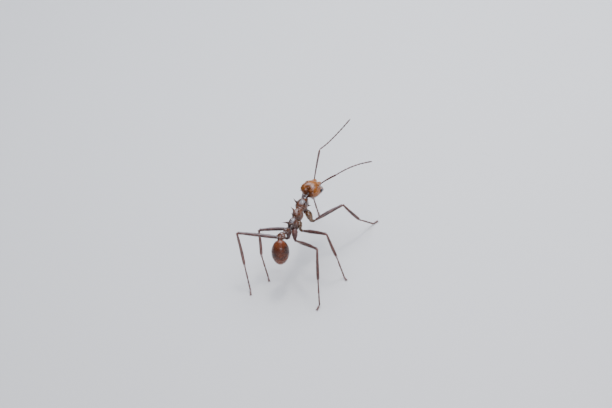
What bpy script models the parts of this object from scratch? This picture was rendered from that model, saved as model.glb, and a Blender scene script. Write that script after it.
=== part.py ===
"""Leafcutter ant, a foraging worker, as a still life-size model on its six feet.

World axes: the ant faces -Y, its left side is +X, and the floor is z = 0.
Body pieces are shaped in local frames with x to the left, y to the rear and z to the back (dorsal side).
"""

import math

import bmesh
import bpy
from mathutils import Matrix, Vector

MM = 0.001
GAP = 0.03                 # clearance between touching pieces
SLIVER = 0.004             # corners nearer than this after a cut become one
TUBE_RESOLUTION = 2        # a leg or feeler tube has 2 * (this + 2) sides

# Stance: the trunk's middle, how far trunk and head tip from level, and the head's lean to its right
SHIFT = Vector((0.366, 1.390, 0.0))    # sets the middle of the whole footprint on the origin
TRUNK_HEIGHT = 4.8
TRUNK_PITCH = math.radians(12)
HEAD_PITCH = math.radians(-26)
HEAD_ROLL = math.radians(15)

# Head
HEAD_CENTRE = Vector((-0.08, -2.83, 0.05))
HEAD_HALF = Vector((0.93, 0.95, 0.80))
HEAD_BOXINESS = 2.5
OCCIPUT_NOTCH = 0.30
EYE_RADIUS = 0.17
MANDIBLE_TEETH = 6
MANDIBLE_THICKNESS = 0.30

# Feelers
FEELER_RADIUS = 0.25

# Trunk, in the trunk's own frame
COLLAR_RADIUS = 0.44
NECK_RADIUS = 0.25
PRONOTUM_CUT = -0.50
PROPODEUM_CUT = 0.42
SPINE_BASE_RADIUS = 0.12
SPINE_TIP_RADIUS = 0.04

# Gaster
GASTER_CENTRE = Vector((0.0, 3.72, -0.52))
GASTER_HALF = Vector((0.84, 1.36, 0.82))
GASTER_DROOP = math.radians(-70)
GASTER_YAW = math.radians(-12)

# Legs
BEND_RADIUS = 0.42
LEAD = 0.08                # straight stretch on either side of a joint
COXA_RADII = {"fore": (0.30, 0.36, 0.26), "middle": (0.27, 0.31, 0.26), "hind": (0.28, 0.34, 0.26)}
FEMUR_RADII = (0.25, 0.30, 0.26)
TIBIA_RADII = (0.25, 0.27, 0.25)
TARSUS_RADII = (0.25, 0.25, 0.25)
SOLE_LENGTH = 0.60         # how much of a foot lies along the floor
SOLE_DEPTH = 0.03          # how much of a foot is ground off to make its flat

# Hips and coxa tips in the trunk's frame, for the left side
HIPS = {
    "fore": (Vector((0.28, -0.92, -0.10)), Vector((0.72, -0.62, -1.62))),
    "middle": (Vector((0.20, 0.42, -0.10)), Vector((0.46, 0.85, -1.08))),
    "hind": (Vector((0.24, 1.08, -0.10)), Vector((0.42, 1.95, -1.08))),
}

# Knee, ankle and toe of each leg in the world, with the toe on the floor
STANCE = {
    ("fore", "left"): ((1.30, -3.55, 4.66), (1.55, -4.30, 2.30), (1.95, -4.95, 0.0)),
    ("fore", "right"): ((-2.58, -3.27, 3.72), (-3.32, -4.05, 1.52), (-4.10, -5.55, 0.0)),
    ("middle", "left"): ((3.30, 1.95, 3.85), (2.62, 3.05, 2.00), (1.78, 4.32, 0.0)),
    ("middle", "right"): ((-3.51, 0.93, 4.29), (-4.25, 1.40, 2.20), (-5.10, 2.10, 0.0)),
    ("hind", "left"): ((4.36, 3.42, 4.58), (3.44, 4.80, 2.15), (2.40, 6.25, 0.0)),
    ("hind", "right"): ((-4.20, 3.40, 5.00), (-4.35, 4.70, 2.40), (-4.45, 6.15, 0.0)),
}

SIDES = {"left": 1.0, "right": -1.0}

CHITIN = {
    "head_shell": ((0.36, 0.11, 0.025), 0.22),
    "trunk_shell": ((0.17, 0.055, 0.028), 0.28),
    "gaster_shell": ((0.22, 0.075, 0.035), 0.25),
    "limb_shell": ((0.24, 0.10, 0.05), 0.35),
    "jaw_shell": ((0.16, 0.03, 0.02), 0.30),
    "eye_shell": ((0.012, 0.010, 0.012), 0.15),
}


def clear_scene():
    for item in list(bpy.data.objects):
        bpy.data.objects.remove(item, do_unlink=True)


def make_collections():
    body = bpy.data.collections.new("leafcutter_ant")
    bpy.context.scene.collection.children.link(body)
    return body


def make_materials():
    made = {}
    for name, (colour, roughness) in CHITIN.items():
        material = bpy.data.materials.new(name)
        material.use_nodes = True
        shader = material.node_tree.nodes["Principled BSDF"]
        shader.inputs["Base Color"].default_value = (*colour, 1.0)
        shader.inputs["Roughness"].default_value = roughness
        shader.inputs["Metallic"].default_value = 0.0
        made[name] = material
    return made


def trunk_frame():
    """The trunk's frame: nose up by the trunk's pitch."""
    return Matrix.Translation(SHIFT + Vector((0.0, 0.0, TRUNK_HEIGHT))) @ Matrix.Rotation(-TRUNK_PITCH, 4, "X")


def head_frame():
    centre = trunk_frame() @ HEAD_CENTRE
    return Matrix.Translation(centre) @ Matrix.Rotation(-HEAD_PITCH, 4, "X") @ Matrix.Rotation(-HEAD_ROLL, 4, "Y")


def gaster_frame():
    """The gaster's frame: its y axis runs from the waist to the tip and hangs down."""
    turn = Matrix.Rotation(GASTER_YAW, 4, "Y") @ Matrix.Rotation(GASTER_DROOP, 4, "X")
    return trunk_frame() @ Matrix.Translation(GASTER_CENTRE) @ turn


def placed(mesh, name, frame, material, collection):
    """An object whose mesh, drawn in a frame of its own, is set in its place on the ant."""
    mesh.transform(frame)
    mesh.name = name
    item = bpy.data.objects.new(name, mesh)
    collection.objects.link(item)
    mesh.materials.clear()
    mesh.materials.append(material)
    return item


def mesh_from(bm):
    mesh = bpy.data.meshes.new("shape")
    bmesh.ops.recalc_face_normals(bm, faces=bm.faces)
    bm.to_mesh(mesh)
    bm.free()
    return mesh


def ball_mesh(half, segments, rings, shape=None, centre=Vector((0.0, 0.0, 0.0))):
    """A ball with its poles fore and aft, scaled to half sizes and bent by a shape function."""
    bm = bmesh.new()
    bmesh.ops.create_uvsphere(bm, u_segments=segments, v_segments=rings, radius=1.0)
    bmesh.ops.rotate(bm, verts=bm.verts, matrix=Matrix.Rotation(math.radians(90), 3, "X"))
    for vert in bm.verts:
        point = shape(vert.co.copy()) if shape else vert.co.copy()
        vert.co = Vector((point.x * half.x, point.y * half.y, point.z * half.z)) + centre
    return mesh_from(bm)


def cone_mesh(start, end, start_radius, end_radius, sides=8):
    """A capped cone between two points."""
    run = end - start
    bm = bmesh.new()
    turn = run.to_track_quat("Z", "Y").to_matrix().to_4x4()
    middle = Matrix.Translation((start + end) / 2)
    bmesh.ops.create_cone(
        bm, cap_ends=True, segments=sides, radius1=start_radius, radius2=end_radius,
        depth=run.length, matrix=middle @ turn,
    )
    return mesh_from(bm)


def tube_mesh(points, radii):
    """A round tube along points, with a radius at each, as one closed mesh."""
    curve = bpy.data.curves.new("tube", "CURVE")
    curve.dimensions = "3D"
    curve.bevel_depth = 1.0
    curve.bevel_resolution = TUBE_RESOLUTION
    curve.use_fill_caps = True
    spline = curve.splines.new("POLY")
    spline.points.add(len(points) - 1)
    for knot, point, radius in zip(spline.points, points, radii):
        knot.co = (*point, 1.0)
        knot.radius = radius
    guide = bpy.data.objects.new("tube", curve)
    bpy.context.scene.collection.objects.link(guide)
    mesh = evaluated_mesh(guide)
    bpy.data.objects.remove(guide, do_unlink=True)
    bm = bmesh.new()
    bm.from_mesh(mesh)
    bmesh.ops.remove_doubles(bm, verts=bm.verts, dist=0.001)
    return mesh_from(bm)


def evaluated_mesh(item):
    graph = bpy.context.evaluated_depsgraph_get()
    graph.update()
    return bpy.data.meshes.new_from_object(item.evaluated_get(graph))


def combine(target, tool, operation):
    """Apply one exact Boolean to the target and leave the tool as it was."""
    step = target.modifiers.new("combine", "BOOLEAN")
    step.operation = operation
    step.solver = "EXACT"
    step.use_self = True
    step.object = tool
    mesh = evaluated_mesh(target)
    target.modifiers.remove(step)
    target.data = mesh


def unite(target, meshes, frame):
    """Grow further shapes on an object, such as spines on a shell."""
    for mesh in meshes:
        mesh.transform(frame)
        tool = bpy.data.objects.new("grown", mesh)
        bpy.context.scene.collection.objects.link(tool)
        combine(target, tool, "UNION")
        bpy.data.objects.remove(tool, do_unlink=True)


def carve(target, neighbour, gap=GAP):
    """Cut a neighbour, swollen by the clearance, out of the target."""
    tool = bpy.data.objects.new("swollen", neighbour.data.copy())
    tool.matrix_world = neighbour.matrix_world
    bpy.context.scene.collection.objects.link(tool)
    swell = tool.modifiers.new("swell", "DISPLACE")
    swell.strength = gap
    swell.mid_level = 0.0
    combine(target, tool, "DIFFERENCE")
    bpy.data.objects.remove(tool, do_unlink=True)
    drop_crumbs(target)


def drop_crumbs(target):
    """Close the slivers of a cut and keep its largest connected piece."""
    bm = bmesh.new()
    bm.from_mesh(target.data)
    bmesh.ops.remove_doubles(bm, verts=bm.verts, dist=SLIVER)
    bmesh.ops.dissolve_degenerate(bm, edges=bm.edges, dist=SLIVER)
    unseen = set(bm.verts)
    pieces = []
    while unseen:
        edge_of_piece = [unseen.pop()]
        piece = set(edge_of_piece)
        while edge_of_piece:
            vert = edge_of_piece.pop()
            for edge in vert.link_edges:
                other = edge.other_vert(vert)
                if other in unseen:
                    unseen.remove(other)
                    piece.add(other)
                    edge_of_piece.append(other)
        pieces.append(piece)
    pieces.sort(key=len)
    for piece in pieces[:-1]:
        bmesh.ops.delete(bm, geom=list(piece), context="VERTS")
    bm.to_mesh(target.data)
    bm.free()


def slice_off(target, point, normal):
    """Remove what lies on the normal's side of a plane and close the cut with a flat face."""
    bm = bmesh.new()
    bm.from_mesh(target.data)
    cut = bmesh.ops.bisect_plane(
        bm, geom=bm.verts[:] + bm.edges[:] + bm.faces[:], dist=1e-5,
        plane_co=point, plane_no=normal, clear_outer=True,
    )
    edges = [part for part in cut["geom_cut"] if isinstance(part, bmesh.types.BMEdge)]
    bmesh.ops.edgeloop_fill(bm, edges=edges)
    bmesh.ops.recalc_face_normals(bm, faces=bm.faces)
    bm.to_mesh(target.data)
    bm.free()


def slice_off_local(target, frame, y, towards_rear):
    """Slice across a body frame at one y, half a clearance short of it."""
    sign = 1.0 if towards_rear else -1.0
    point = frame @ Vector((0.0, y - sign * GAP / 2, 0.0))
    normal = frame.to_3x3() @ Vector((0.0, sign, 0.0))
    slice_off(target, point, normal)


# ---------------------------------------------------------------- head

def head_shape(point):
    """Heart-shaped from the front: two lobes behind, a notch between them, narrower jaws."""
    along = max(-1.0, min(1.0, point.y))
    ring = math.sqrt(max(0.0, 1.0 - along * along))
    boxy = max(0.0, 1.0 - abs(along) ** HEAD_BOXINESS) ** (1.0 / HEAD_BOXINESS)
    spread = boxy / ring if ring > 1e-6 else 0.0
    across = point.x * spread * (0.94 + 0.10 * along)
    height = point.z * spread * (0.96 - 0.10 * abs(along))
    rear = max(0.0, along)
    notch = OCCIPUT_NOTCH * math.exp(-((across / 0.42) ** 2)) * rear ** 2
    return Vector((across, along - notch, height))


def build_head(materials, body):
    frame = head_frame()
    mesh = ball_mesh(HEAD_HALF, 20, 14, head_shape)
    head = placed(mesh, "head", frame, materials["head_shell"], body)
    thorns = []
    for side in SIDES.values():
        base = Vector((side * 0.50, 0.66, 0.28))
        tip = Vector((side * 0.60, 1.00, 0.50))
        thorns.append(cone_mesh(base, tip, 0.12, SPINE_TIP_RADIUS))
        frontal = Vector((side * 0.29, -0.50, 0.44))
        lobe_end = Vector((side * 0.33, -0.78, 0.60))
        thorns.append(cone_mesh(frontal, lobe_end, 0.22, 0.14))
    unite(head, thorns, frame)
    return head


def build_eyes(materials, body, head):
    frame = head_frame()
    for name, side in SIDES.items():
        centre = Vector((side * 0.86, -0.30, 0.18))
        half = Vector((0.11, EYE_RADIUS, EYE_RADIUS))
        mesh = ball_mesh(half, 12, 8, centre=centre)
        eye = placed(mesh, "eye_" + name, frame, materials["eye_shell"], body)
        carve(head, eye)


def mandible_outline(side):
    """Outline of one jaw in the head's plane: a bowed outer edge, then teeth along the chewing edge."""
    hinge = Vector((0.66, -0.72))
    tip = Vector((0.05, -1.60))
    heel = Vector((0.05, -0.92))
    points = []
    for step in range(7):
        share = step / 6
        bow = 0.16 * math.sin(math.pi * share)
        points.append(hinge.lerp(tip, share) + Vector((bow, -bow * 0.7)))
    for tooth in range(MANDIBLE_TEETH):
        share = (tooth + 0.5) / MANDIBLE_TEETH
        valley = tip.lerp(heel, share)
        points.append(valley + Vector((0.09 - 0.03 * share, 0.0)))
        points.append(tip.lerp(heel, (tooth + 1) / MANDIBLE_TEETH))
    points.append(Vector((0.12, -0.62)))
    return [Vector((side * point.x, point.y)) for point in points]


def build_mandibles(materials, body, head):
    for name, side in SIDES.items():
        curve = bpy.data.curves.new("jaw", "CURVE")
        curve.dimensions = "2D"
        curve.fill_mode = "BOTH"
        curve.extrude = MANDIBLE_THICKNESS / 2
        outline = mandible_outline(side)
        spline = curve.splines.new("POLY")
        spline.points.add(len(outline) - 1)
        spline.use_cyclic_u = True
        for knot, point in zip(spline.points, outline):
            knot.co = (point.x, point.y, 0.0, 1.0)
        guide = bpy.data.objects.new("jaw", curve)
        bpy.context.scene.collection.objects.link(guide)
        mesh = evaluated_mesh(guide)
        bpy.data.objects.remove(guide, do_unlink=True)
        bm = bmesh.new()
        bm.from_mesh(mesh)
        bmesh.ops.remove_doubles(bm, verts=bm.verts, dist=0.001)
        droop = head_frame() @ Matrix.Translation((0.0, 0.0, -0.12))
        jaw = placed(mesh_from(bm), "mandible_" + name, droop, materials["jaw_shell"], body)
        carve(jaw, head)


# ---------------------------------------------------------------- tubes with round bends

def bend_at(before, corner, after, radius, room):
    """Points of a round bend: those before its middle, its middle, the way on, those after it."""
    way_in = (corner - before).normalized()
    way_out = (after - corner).normalized()
    turn = way_in.angle(way_out, 0.0)
    if turn < math.radians(3):
        return [], corner.copy(), (way_in + way_out).normalized(), []
    reach = min(radius * math.tan(turn / 2), room)
    radius = reach / math.tan(turn / 2)
    centre = corner + (way_out - way_in).normalized() * (radius / math.cos(turn / 2))
    start = corner - way_in * reach
    axis = way_in.cross(way_out).normalized()
    arm = start - centre
    steps = 2 if turn < math.radians(60) else 3

    def on_arc(share):
        return centre + Matrix.Rotation(turn * share, 3, axis) @ arm

    first = [on_arc(0.5 * step / steps) for step in range(steps)]
    last = [on_arc(1.0 - 0.5 * step / steps) for step in range(steps)][::-1]
    return first, on_arc(0.5), (way_in + way_out).normalized(), last


def bend_room(knots, index):
    """How much of the stretches beside a knot its bend may use: nearly all of an end stretch."""
    room_in = (knots[index] - knots[index - 1]).length * (0.85 if index == 1 else 0.45)
    room_out = (knots[index + 1] - knots[index]).length * (0.85 if index == len(knots) - 2 else 0.45)
    return min(room_in, room_out)


def parted_paths(knots, radius=BEND_RADIUS):
    """Split one route with round bends into a path for each piece, a clearance apart."""
    paths = [[knots[0]]]
    for index in range(1, len(knots) - 1):
        before, corner, after = knots[index - 1: index + 2]
        first, middle, way, last = bend_at(before, corner, after, radius, bend_room(knots, index))
        first = [point for point in first if (point - middle).length > 2.2 * LEAD]
        last = [point for point in last if (point - middle).length > 2.2 * LEAD]
        paths[-1] += first + [middle - way * (GAP / 2 + LEAD), middle - way * GAP / 2]
        paths.append([middle + way * GAP / 2, middle + way * (GAP / 2 + LEAD)] + last)
    paths[-1].append(knots[-1])
    return paths


def with_radii(path, radii):
    """Radii along a path: start, thickest place and end, joined smoothly by distance."""
    lengths = [0.0]
    for one, two in zip(path, path[1:]):
        lengths.append(lengths[-1] + (two - one).length)
    start, middle, end = radii
    shares = [length / lengths[-1] for length in lengths]
    return [
        start * (1 - share) * (1 - 2 * share) + middle * 4 * share * (1 - share) + end * share * (2 * share - 1)
        for share in shares
    ]


def thicken(path):
    """Add a point halfway along the longest stretch, so that a tube can swell there."""
    spans = [(two - one).length for one, two in zip(path, path[1:])]
    where = spans.index(max(spans))
    one, two = path[where], path[where + 1]
    extra = [one.lerp(two, share) for share in (0.25, 0.5, 0.75)]
    return path[: where + 1] + extra + path[where + 1:]


def rounded_tip(path, radii):
    """Swap a tube's last point for a short dome."""
    tip, radius = path[-1], radii[-1]
    way = (tip - path[-2]).normalized()
    dome = [(0.70, 1.0), (0.30, 0.85), (0.08, 0.58), (0.0, 0.30)]
    points = [tip - way * radius * back for back, share in dome]
    return path[:-1] + points, radii[:-1] + [radius * share for back, share in dome]


def build_tube(name, path, radii, material, body, domed=False):
    path = thicken(path)
    sizes = with_radii(path, radii)
    if domed:
        path, sizes = rounded_tip(path, sizes)
    mesh = tube_mesh(path, sizes)
    return placed(mesh, name, Matrix.Identity(4), material, body)


# ---------------------------------------------------------------- feelers

FEELERS = {
    # socket in the head's frame, then elbow, two points of the bend and tip in the world
    "left": (
        Vector((0.34, -0.66, 0.48)),
        [(-0.12, -5.40, 7.86), (-0.52, -6.75, 8.05), (-1.00, -8.15, 8.30), (-1.30, -9.05, 8.62)],
    ),
    "right": (
        Vector((-0.34, -0.66, 0.48)),
        [(-2.62, -3.70, 7.05), (-3.30, -4.90, 7.02), (-3.85, -6.20, 6.50), (-4.05, -7.05, 5.95)],
    ),
}


def build_feelers(materials, body, head):
    for name, (socket, route) in FEELERS.items():
        root = head_frame() @ socket
        stops = [SHIFT + Vector(point) for point in route]
        scape, funiculus = parted_paths([root, stops[0], stops[1]])
        funiculus = funiculus[:-1] + smooth_route(funiculus[-2:-1] + stops[1:])[1:]
        radii = (FEELER_RADIUS, FEELER_RADIUS, FEELER_RADIUS)
        shaft = build_tube("scape_" + name, scape, radii, materials["limb_shell"], body)
        carve(shaft, head)
        build_tube("funiculus_" + name, funiculus, radii, materials["limb_shell"], body, domed=True)


def smooth_route(stops, steps=2):
    """Catmull-Rom points through stops."""
    padded = [stops[0] * 2 - stops[1]] + list(stops) + [stops[-1] * 2 - stops[-2]]
    route = []
    for a, b, c, d in zip(padded, padded[1:], padded[2:], padded[3:]):
        for step in range(steps):
            t = step / steps
            route.append(
                0.5 * ((2 * b) + (c - a) * t + (2 * a - 5 * b + 4 * c - d) * t * t
                       + (3 * b - a - 3 * c + d) * t ** 3)
            )
    route.append(stops[-1])
    return route


# ---------------------------------------------------------------- trunk and waist

def spine_pair(base, tip):
    """A left and a right spine from a base and a tip given for the left."""
    pair = []
    for side in SIDES.values():
        mirror = Vector((side, 1.0, 1.0))
        pair.append(cone_mesh(base * mirror, tip * mirror, SPINE_BASE_RADIUS, SPINE_TIP_RADIUS))
    return pair


def build_trunk(materials, body, head):
    frame = trunk_frame()
    shell = materials["trunk_shell"]

    mesh = ball_mesh(Vector((0.62, 0.74, 0.55)), 16, 12, centre=Vector((0.0, -1.02, 0.12)))
    pronotum = placed(mesh, "pronotum", frame, shell, body)
    neck = cone_mesh(Vector((0.0, -1.30, 0.02)), Vector((0.0, -2.40, 0.10)), COLLAR_RADIUS, NECK_RADIUS, 10)
    shoulders = spine_pair(Vector((0.42, -1.06, 0.34)), Vector((0.66, -1.12, 0.80)))
    unite(pronotum, [neck] + shoulders, frame)
    slice_off_local(pronotum, frame, PRONOTUM_CUT, True)
    carve(pronotum, head)

    mesh = ball_mesh(Vector((0.50, 0.84, 0.54)), 16, 10, centre=Vector((0.0, 0.0, -0.03)))
    mesonotum = placed(mesh, "mesonotum", frame, shell, body)
    unite(mesonotum, spine_pair(Vector((0.24, -0.16, 0.36)), Vector((0.40, -0.20, 0.90))), frame)
    slice_off_local(mesonotum, frame, PRONOTUM_CUT, False)
    slice_off_local(mesonotum, frame, PROPODEUM_CUT, True)

    mesh = ball_mesh(Vector((0.46, 0.86, 0.50)), 16, 12, centre=Vector((0.0, 0.78, -0.08)))
    propodeum = placed(mesh, "propodeum", frame, shell, body)
    unite(propodeum, spine_pair(Vector((0.20, 1.10, 0.22)), Vector((0.38, 1.62, 0.98))), frame)
    slice_off_local(propodeum, frame, PROPODEUM_CUT, False)
    return pronotum, mesonotum, propodeum


def build_waist(materials, body, propodeum):
    """Petiole and postpetiole, two nodes that rise level to the gaster."""
    frame = trunk_frame()
    shell = materials["trunk_shell"]
    mesh = ball_mesh(Vector((0.32, 0.32, 0.34)), 12, 8, centre=Vector((0.0, 2.02, 0.30)))
    petiole = placed(mesh, "petiole", frame, shell, body)
    stalk = cone_mesh(Vector((0.0, 1.36, -0.02)), Vector((0.0, 2.00, 0.26)), 0.25, 0.25)
    unite(petiole, [stalk], frame)
    carve(petiole, propodeum)

    mesh = ball_mesh(Vector((0.46, 0.38, 0.37)), 14, 10, centre=Vector((0.0, 2.68, 0.52)))
    postpetiole = placed(mesh, "postpetiole", frame, shell, body)
    bridge = cone_mesh(Vector((0.0, 2.10, 0.36)), Vector((0.0, 2.70, 0.50)), 0.25, 0.25)
    unite(postpetiole, [bridge], frame)
    carve(postpetiole, petiole)
    return petiole, postpetiole


def gaster_shape(point):
    """An egg, fuller towards the waist, with a blunt front and a drawn-out tip."""
    along = point.y
    taper = 1.0 - 0.16 * max(0.0, along) ** 1.5
    return Vector((point.x * taper, along, point.z * taper))


def build_gaster(materials, body, postpetiole):
    mesh = ball_mesh(GASTER_HALF, 18, 14, gaster_shape)
    gaster = placed(mesh, "gaster", gaster_frame(), materials["gaster_shell"], body)
    carve(postpetiole, gaster)
    return gaster


# ---------------------------------------------------------------- legs

def build_leg(pair, side, materials, body, hosts):
    sign = SIDES[side]
    mirror = Vector((sign, 1.0, 1.0))
    hip, tip = [trunk_frame() @ (point * mirror) for point in HIPS[pair]]
    knee, ankle, toe = [SHIFT + Vector(point) for point in STANCE[(pair, side)]]
    lift = TARSUS_RADII[2] - SOLE_DEPTH
    toe.z = lift
    heading = (toe - ankle).to_2d().normalized()
    ball_of_foot = toe - Vector((heading.x, heading.y, 0.0)) * SOLE_LENGTH
    coxa, femur, tibia, tarsus = parted_paths([hip, tip, knee, ankle, ball_of_foot])
    rounded = bend_at(tarsus[-2], ball_of_foot, toe, BEND_RADIUS, 0.45 * SOLE_LENGTH)
    tarsus = tarsus[:-1] + rounded[0] + [rounded[1]] + rounded[3] + [toe]

    label = "_" + pair + "_" + side
    shell = materials["limb_shell"]
    base = build_tube("coxa" + label, coxa, COXA_RADII[pair], shell, body)
    for host in hosts:
        carve(base, host)
    build_tube("femur" + label, femur, FEMUR_RADII, shell, body)
    build_tube("tibia" + label, tibia, TIBIA_RADII, shell, body)
    foot = build_tube("tarsus" + label, tarsus, TARSUS_RADII, shell, body, domed=True)
    slice_off(foot, Vector((0.0, 0.0, 0.0)), Vector((0.0, 0.0, -1.0)))


def to_metres(body):
    """Everything above is drawn in millimetres: bring the finished meshes to metres."""
    for item in body.objects:
        item.data.transform(Matrix.Scale(MM, 4))


def build_ant():
    clear_scene()
    body = make_collections()
    materials = make_materials()
    head = build_head(materials, body)
    build_mandibles(materials, body, head)
    build_feelers(materials, body, head)
    pronotum, mesonotum, propodeum = build_trunk(materials, body, head)
    build_eyes(materials, body, head)
    petiole, postpetiole = build_waist(materials, body, propodeum)
    build_gaster(materials, body, postpetiole)
    hosts = {
        "fore": (pronotum, mesonotum),
        "middle": (mesonotum, pronotum, propodeum),
        "hind": (propodeum, mesonotum, petiole),
    }
    for pair, side in STANCE:
        build_leg(pair, side, materials, body, hosts[pair])
    to_metres(body)


build_ant()
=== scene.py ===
import math

import bmesh
import bpy
import numpy as np
from mathutils import Matrix, Vector
from mathutils.kdtree import KDTree


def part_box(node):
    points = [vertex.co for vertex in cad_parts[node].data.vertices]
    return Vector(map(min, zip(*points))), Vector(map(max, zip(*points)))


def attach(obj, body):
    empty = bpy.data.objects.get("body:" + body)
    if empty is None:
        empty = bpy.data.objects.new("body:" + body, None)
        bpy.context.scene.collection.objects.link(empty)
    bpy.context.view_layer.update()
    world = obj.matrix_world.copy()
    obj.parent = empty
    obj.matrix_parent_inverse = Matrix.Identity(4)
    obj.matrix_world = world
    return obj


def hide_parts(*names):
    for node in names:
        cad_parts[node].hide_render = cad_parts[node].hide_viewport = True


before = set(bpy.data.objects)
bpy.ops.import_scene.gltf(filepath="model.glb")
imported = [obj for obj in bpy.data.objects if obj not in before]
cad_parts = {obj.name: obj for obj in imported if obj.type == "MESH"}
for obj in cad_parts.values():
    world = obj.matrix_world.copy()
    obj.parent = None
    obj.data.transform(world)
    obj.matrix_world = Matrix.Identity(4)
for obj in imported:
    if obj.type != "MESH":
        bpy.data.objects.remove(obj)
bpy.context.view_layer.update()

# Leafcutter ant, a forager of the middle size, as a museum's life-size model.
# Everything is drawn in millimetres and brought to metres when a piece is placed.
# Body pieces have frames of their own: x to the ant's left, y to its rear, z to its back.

mm = 0.001
random = np.random.default_rng(7)
sides = {"left": 1.0, "right": -1.0}

# how the body is held, in degrees, and where its parts sit from the solids' middles
pose = {
    "trunkPitch": 12.0,
    "headPitch": -26.0,
    "headRoll": 15.0,
    "gasterDroop": -70.0,
    "gasterYaw": -12.0,
    "trunkFromPlate": (0.0, 0.043, -0.174),
    "headFromEyes": (0.0, 0.30, -0.18),
}


def nodeMiddle(node):
    low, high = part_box(node)
    return (low + high) / 2 / mm


def turn(degrees, axis):
    return Matrix.Rotation(math.radians(degrees), 4, axis)


def trunkFrame():
    middle = nodeMiddle("mesonotum") + Vector(pose["trunkFromPlate"])
    return Matrix.Translation(middle) @ turn(-pose["trunkPitch"], "X")


def headFrame():
    eyes = (nodeMiddle("eye_left") + nodeMiddle("eye_right")) / 2
    held = turn(-pose["headPitch"], "X") @ turn(-pose["headRoll"], "Y")
    return Matrix.Translation(eyes) @ held @ Matrix.Translation(pose["headFromEyes"])


def gasterFrame():
    held = turn(-pose["trunkPitch"], "X") @ turn(pose["gasterYaw"], "Y") @ turn(pose["gasterDroop"], "X")
    return Matrix.Translation(nodeMiddle("gaster")) @ held


# helpers that make, join and carve meshes
def meshFromLists(points, faces):
    mesh = bpy.data.meshes.new("shape")
    mesh.from_pydata([tuple(point) for point in points], [], faces)
    mesh.update()
    return mesh


def roundForm(half, centre=(0.0, 0.0, 0.0), shape=None, around=48, along=32):
    # an egg with its poles fore and aft, bent by a function of its unit ball
    bm = bmesh.new()
    bmesh.ops.create_uvsphere(bm, u_segments=around, v_segments=along, radius=1.0)
    bmesh.ops.rotate(bm, verts=bm.verts, matrix=Matrix.Rotation(math.radians(90), 3, "X"))
    for vert in bm.verts:
        point = shape(vert.co.copy()) if shape else vert.co
        vert.co = Vector([point[k] * half[k] + centre[k] for k in range(3)])
    mesh = bpy.data.meshes.new("shape")
    bm.to_mesh(mesh)
    bm.free()
    return mesh


def loft(path, radii, around=20):
    # a closed skin over round rings along a path
    path = [Vector(point) for point in path]
    ways = []
    for index in range(len(path)):
        before, after = path[max(index - 1, 0)], path[min(index + 1, len(path) - 1)]
        ways.append((after - before).normalized())
    side = Vector((0.0, 0.0, 1.0)).cross(ways[0])
    if side.length < 0.1:
        side = Vector((1.0, 0.0, 0.0)).cross(ways[0])
    points, faces = [], []
    for point, way, radius in zip(path, ways, radii):
        side = (side - way * side.dot(way)).normalized()
        lift = way.cross(side)
        for k in range(around):
            angle = 2 * math.pi * k / around
            points.append(point + side * (radius * math.cos(angle)) + lift * (radius * math.sin(angle)))
    for ring in range(len(path) - 1):
        for k in range(around):
            a, b = ring * around + k, ring * around + (k + 1) % around
            faces.append((a, b, b + around, a + around))
    for ring, point in ((0, path[0]), (len(path) - 1, path[-1])):
        points.append(point)
        hub = len(points) - 1
        for k in range(around):
            a, b = ring * around + k, ring * around + (k + 1) % around
            faces.append((hub, b, a) if ring == 0 else (hub, a, b))
    return meshFromLists(points, faces)


def thorn(base, tip, wide, sharp=0.02, sweep=(0.0, 0.0, 0.0), around=14):
    # a spine that flares at its base and runs to a blunt point
    base, tip = Vector(base), Vector(tip)
    path, radii = [], []
    for index in range(15):
        share = index / 14
        path.append(base.lerp(tip, share) + Vector(sweep) * math.sin(math.pi * share))
        radii.append(sharp + (wide - sharp) * (1 - share) ** 1.5)
    path.append(path[-1] + (path[-1] - path[-2]) * 0.25)
    radii.append(sharp * 0.4)
    return loft(path, radii, around)


def paired(make, *points):
    # the same piece on both sides, from points given for the left
    made = []
    for side in sides.values():
        made.append(make(*[(side * x, y, z) for x, y, z in points]))
    return made


def evaluated(item):
    graph = bpy.context.evaluated_depsgraph_get()
    graph.update()
    mesh = bpy.data.meshes.new_from_object(item.evaluated_get(graph))
    bpy.data.objects.remove(item, do_unlink=True)
    return mesh


def joined(meshes):
    bm = bmesh.new()
    for mesh in meshes:
        bm.from_mesh(mesh)
    mesh = bpy.data.meshes.new("shape")
    bm.to_mesh(mesh)
    bm.free()
    return mesh


def fuse(meshes, grain, smoothing):
    # closed shapes that cross become one skin, with soft fillets where they met
    item = bpy.data.objects.new("fuse", joined(meshes))
    bpy.context.scene.collection.objects.link(item)
    remesh = item.modifiers.new("skin", "REMESH")
    remesh.mode = "VOXEL"
    remesh.voxel_size = grain
    soften = item.modifiers.new("soften", "SMOOTH")
    soften.factor = 0.5
    soften.iterations = smoothing
    return evaluated(item)


def pointsOf(mesh):
    flat = np.empty(len(mesh.vertices) * 3)
    mesh.vertices.foreach_get("co", flat)
    return flat.reshape(-1, 3)


def normalsOf(mesh):
    flat = np.empty(len(mesh.vertices) * 3)
    mesh.vertex_normals.foreach_get("vector", flat)
    return flat.reshape(-1, 3)


def sculpt(mesh, height):
    # moves each vertex along its normal by height(points), a list of heights in mm
    points = pointsOf(mesh)
    moved = points + normalsOf(mesh) * height(points)[:, None]
    mesh.vertices.foreach_set("co", moved.ravel())
    mesh.update()


def bell(distance, width):
    return np.exp(-(distance / width) ** 2)


def step(value, edge, soft):
    return 1 / (1 + np.exp(-(value - edge) / soft))


def lineDistance(points, line):
    # distance from points to an open line, in as many dimensions as the line has
    best = np.full(len(points), 1e9)
    for one, two in zip(line, line[1:]):
        one, two = np.array(one), np.array(two)
        run = two - one
        share = np.clip((points - one) @ run / (run @ run), 0, 1)
        best = np.minimum(best, np.linalg.norm(points - (one + share[:, None] * run), axis=1))
    return best


def writeValue(mesh, name, values):
    layer = mesh.attributes.new(name, "FLOAT", "POINT")
    layer.data.foreach_set("value", values.astype(np.float32))


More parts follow.
